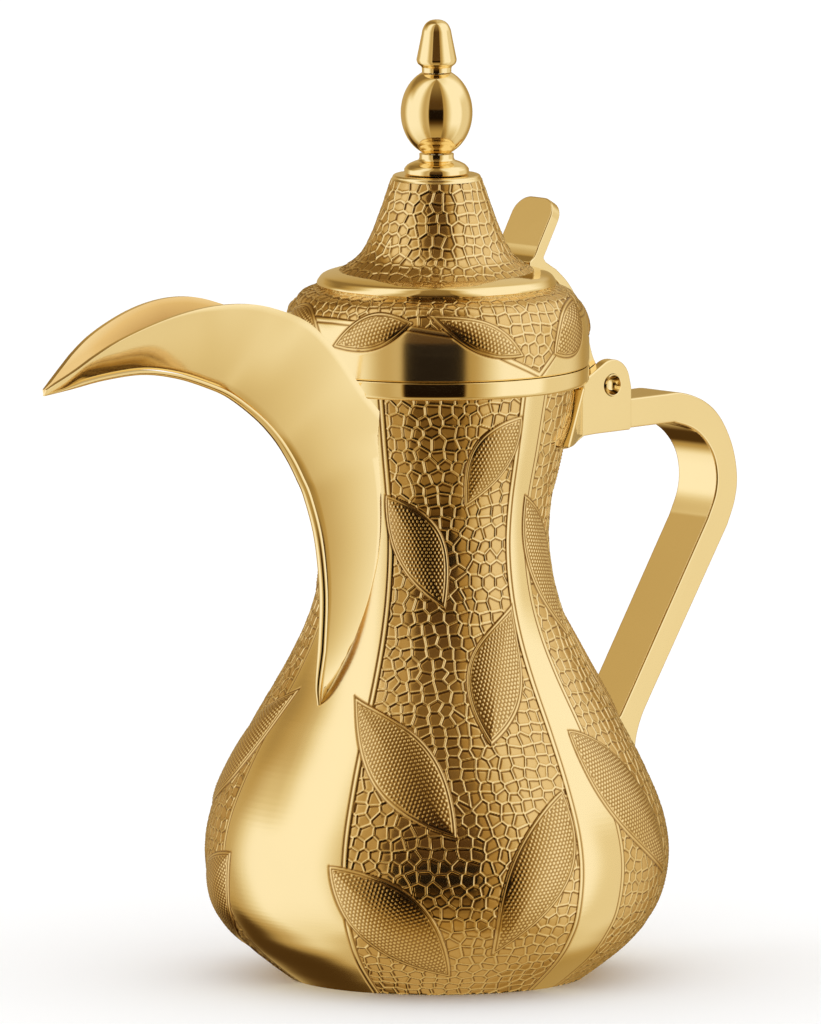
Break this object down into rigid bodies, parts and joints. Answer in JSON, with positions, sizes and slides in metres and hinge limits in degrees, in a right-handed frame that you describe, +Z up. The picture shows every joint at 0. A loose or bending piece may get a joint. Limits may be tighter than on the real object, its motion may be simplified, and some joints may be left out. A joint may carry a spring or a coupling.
{
  "type": "coffee pot",
  "caption": "Long-beaked metal coffee pot with a wide belly, narrow waist, strap handle and a hinged domed lid carrying a conical spire and turned finial.",
  "frame": {"origin": "centre of the base's underside, on the table", "axes": "+Z up along the pot's axis, beak toward -X, handle toward +X"},
  "size_m": [0.2965, 0.1448, 0.3],
  "materials": {
    "embossed_gold": "polished, embossed",
    "polished_gold": "mirror polished",
    "steel": "plain"
  },
  "bodies": {
    "pot": {"body_shell": "embossed_gold", "base_plate": "embossed_gold", "neck_collar": "polished_gold", "spout_trough": "polished_gold", "spout_keel_bead": "polished_gold", "hinge_bracket": "polished_gold", "handle_strap": "polished_gold", "hinge_pin": "polished_gold"},
    "lid": {"lid_shell": "embossed_gold", "lid_locating_ring": "polished_gold", "lid_bead": "polished_gold", "lid_spire": "embossed_gold", "lid_lever": "polished_gold", "finial_base": "polished_gold", "finial_ball": "polished_gold", "finial_tip": "polished_gold", "finial_stud": "steel", "finial_washer": "steel", "finial_nut": "steel"}
  },
  "joints": [
    {"name": "lid_hinge", "type": "hinge", "parent": "pot", "child": "lid", "pos_m": [0.0658, 0, 0.1805], "axis": [0, 1, 0], "range_deg": [0, 110]}
  ]
}
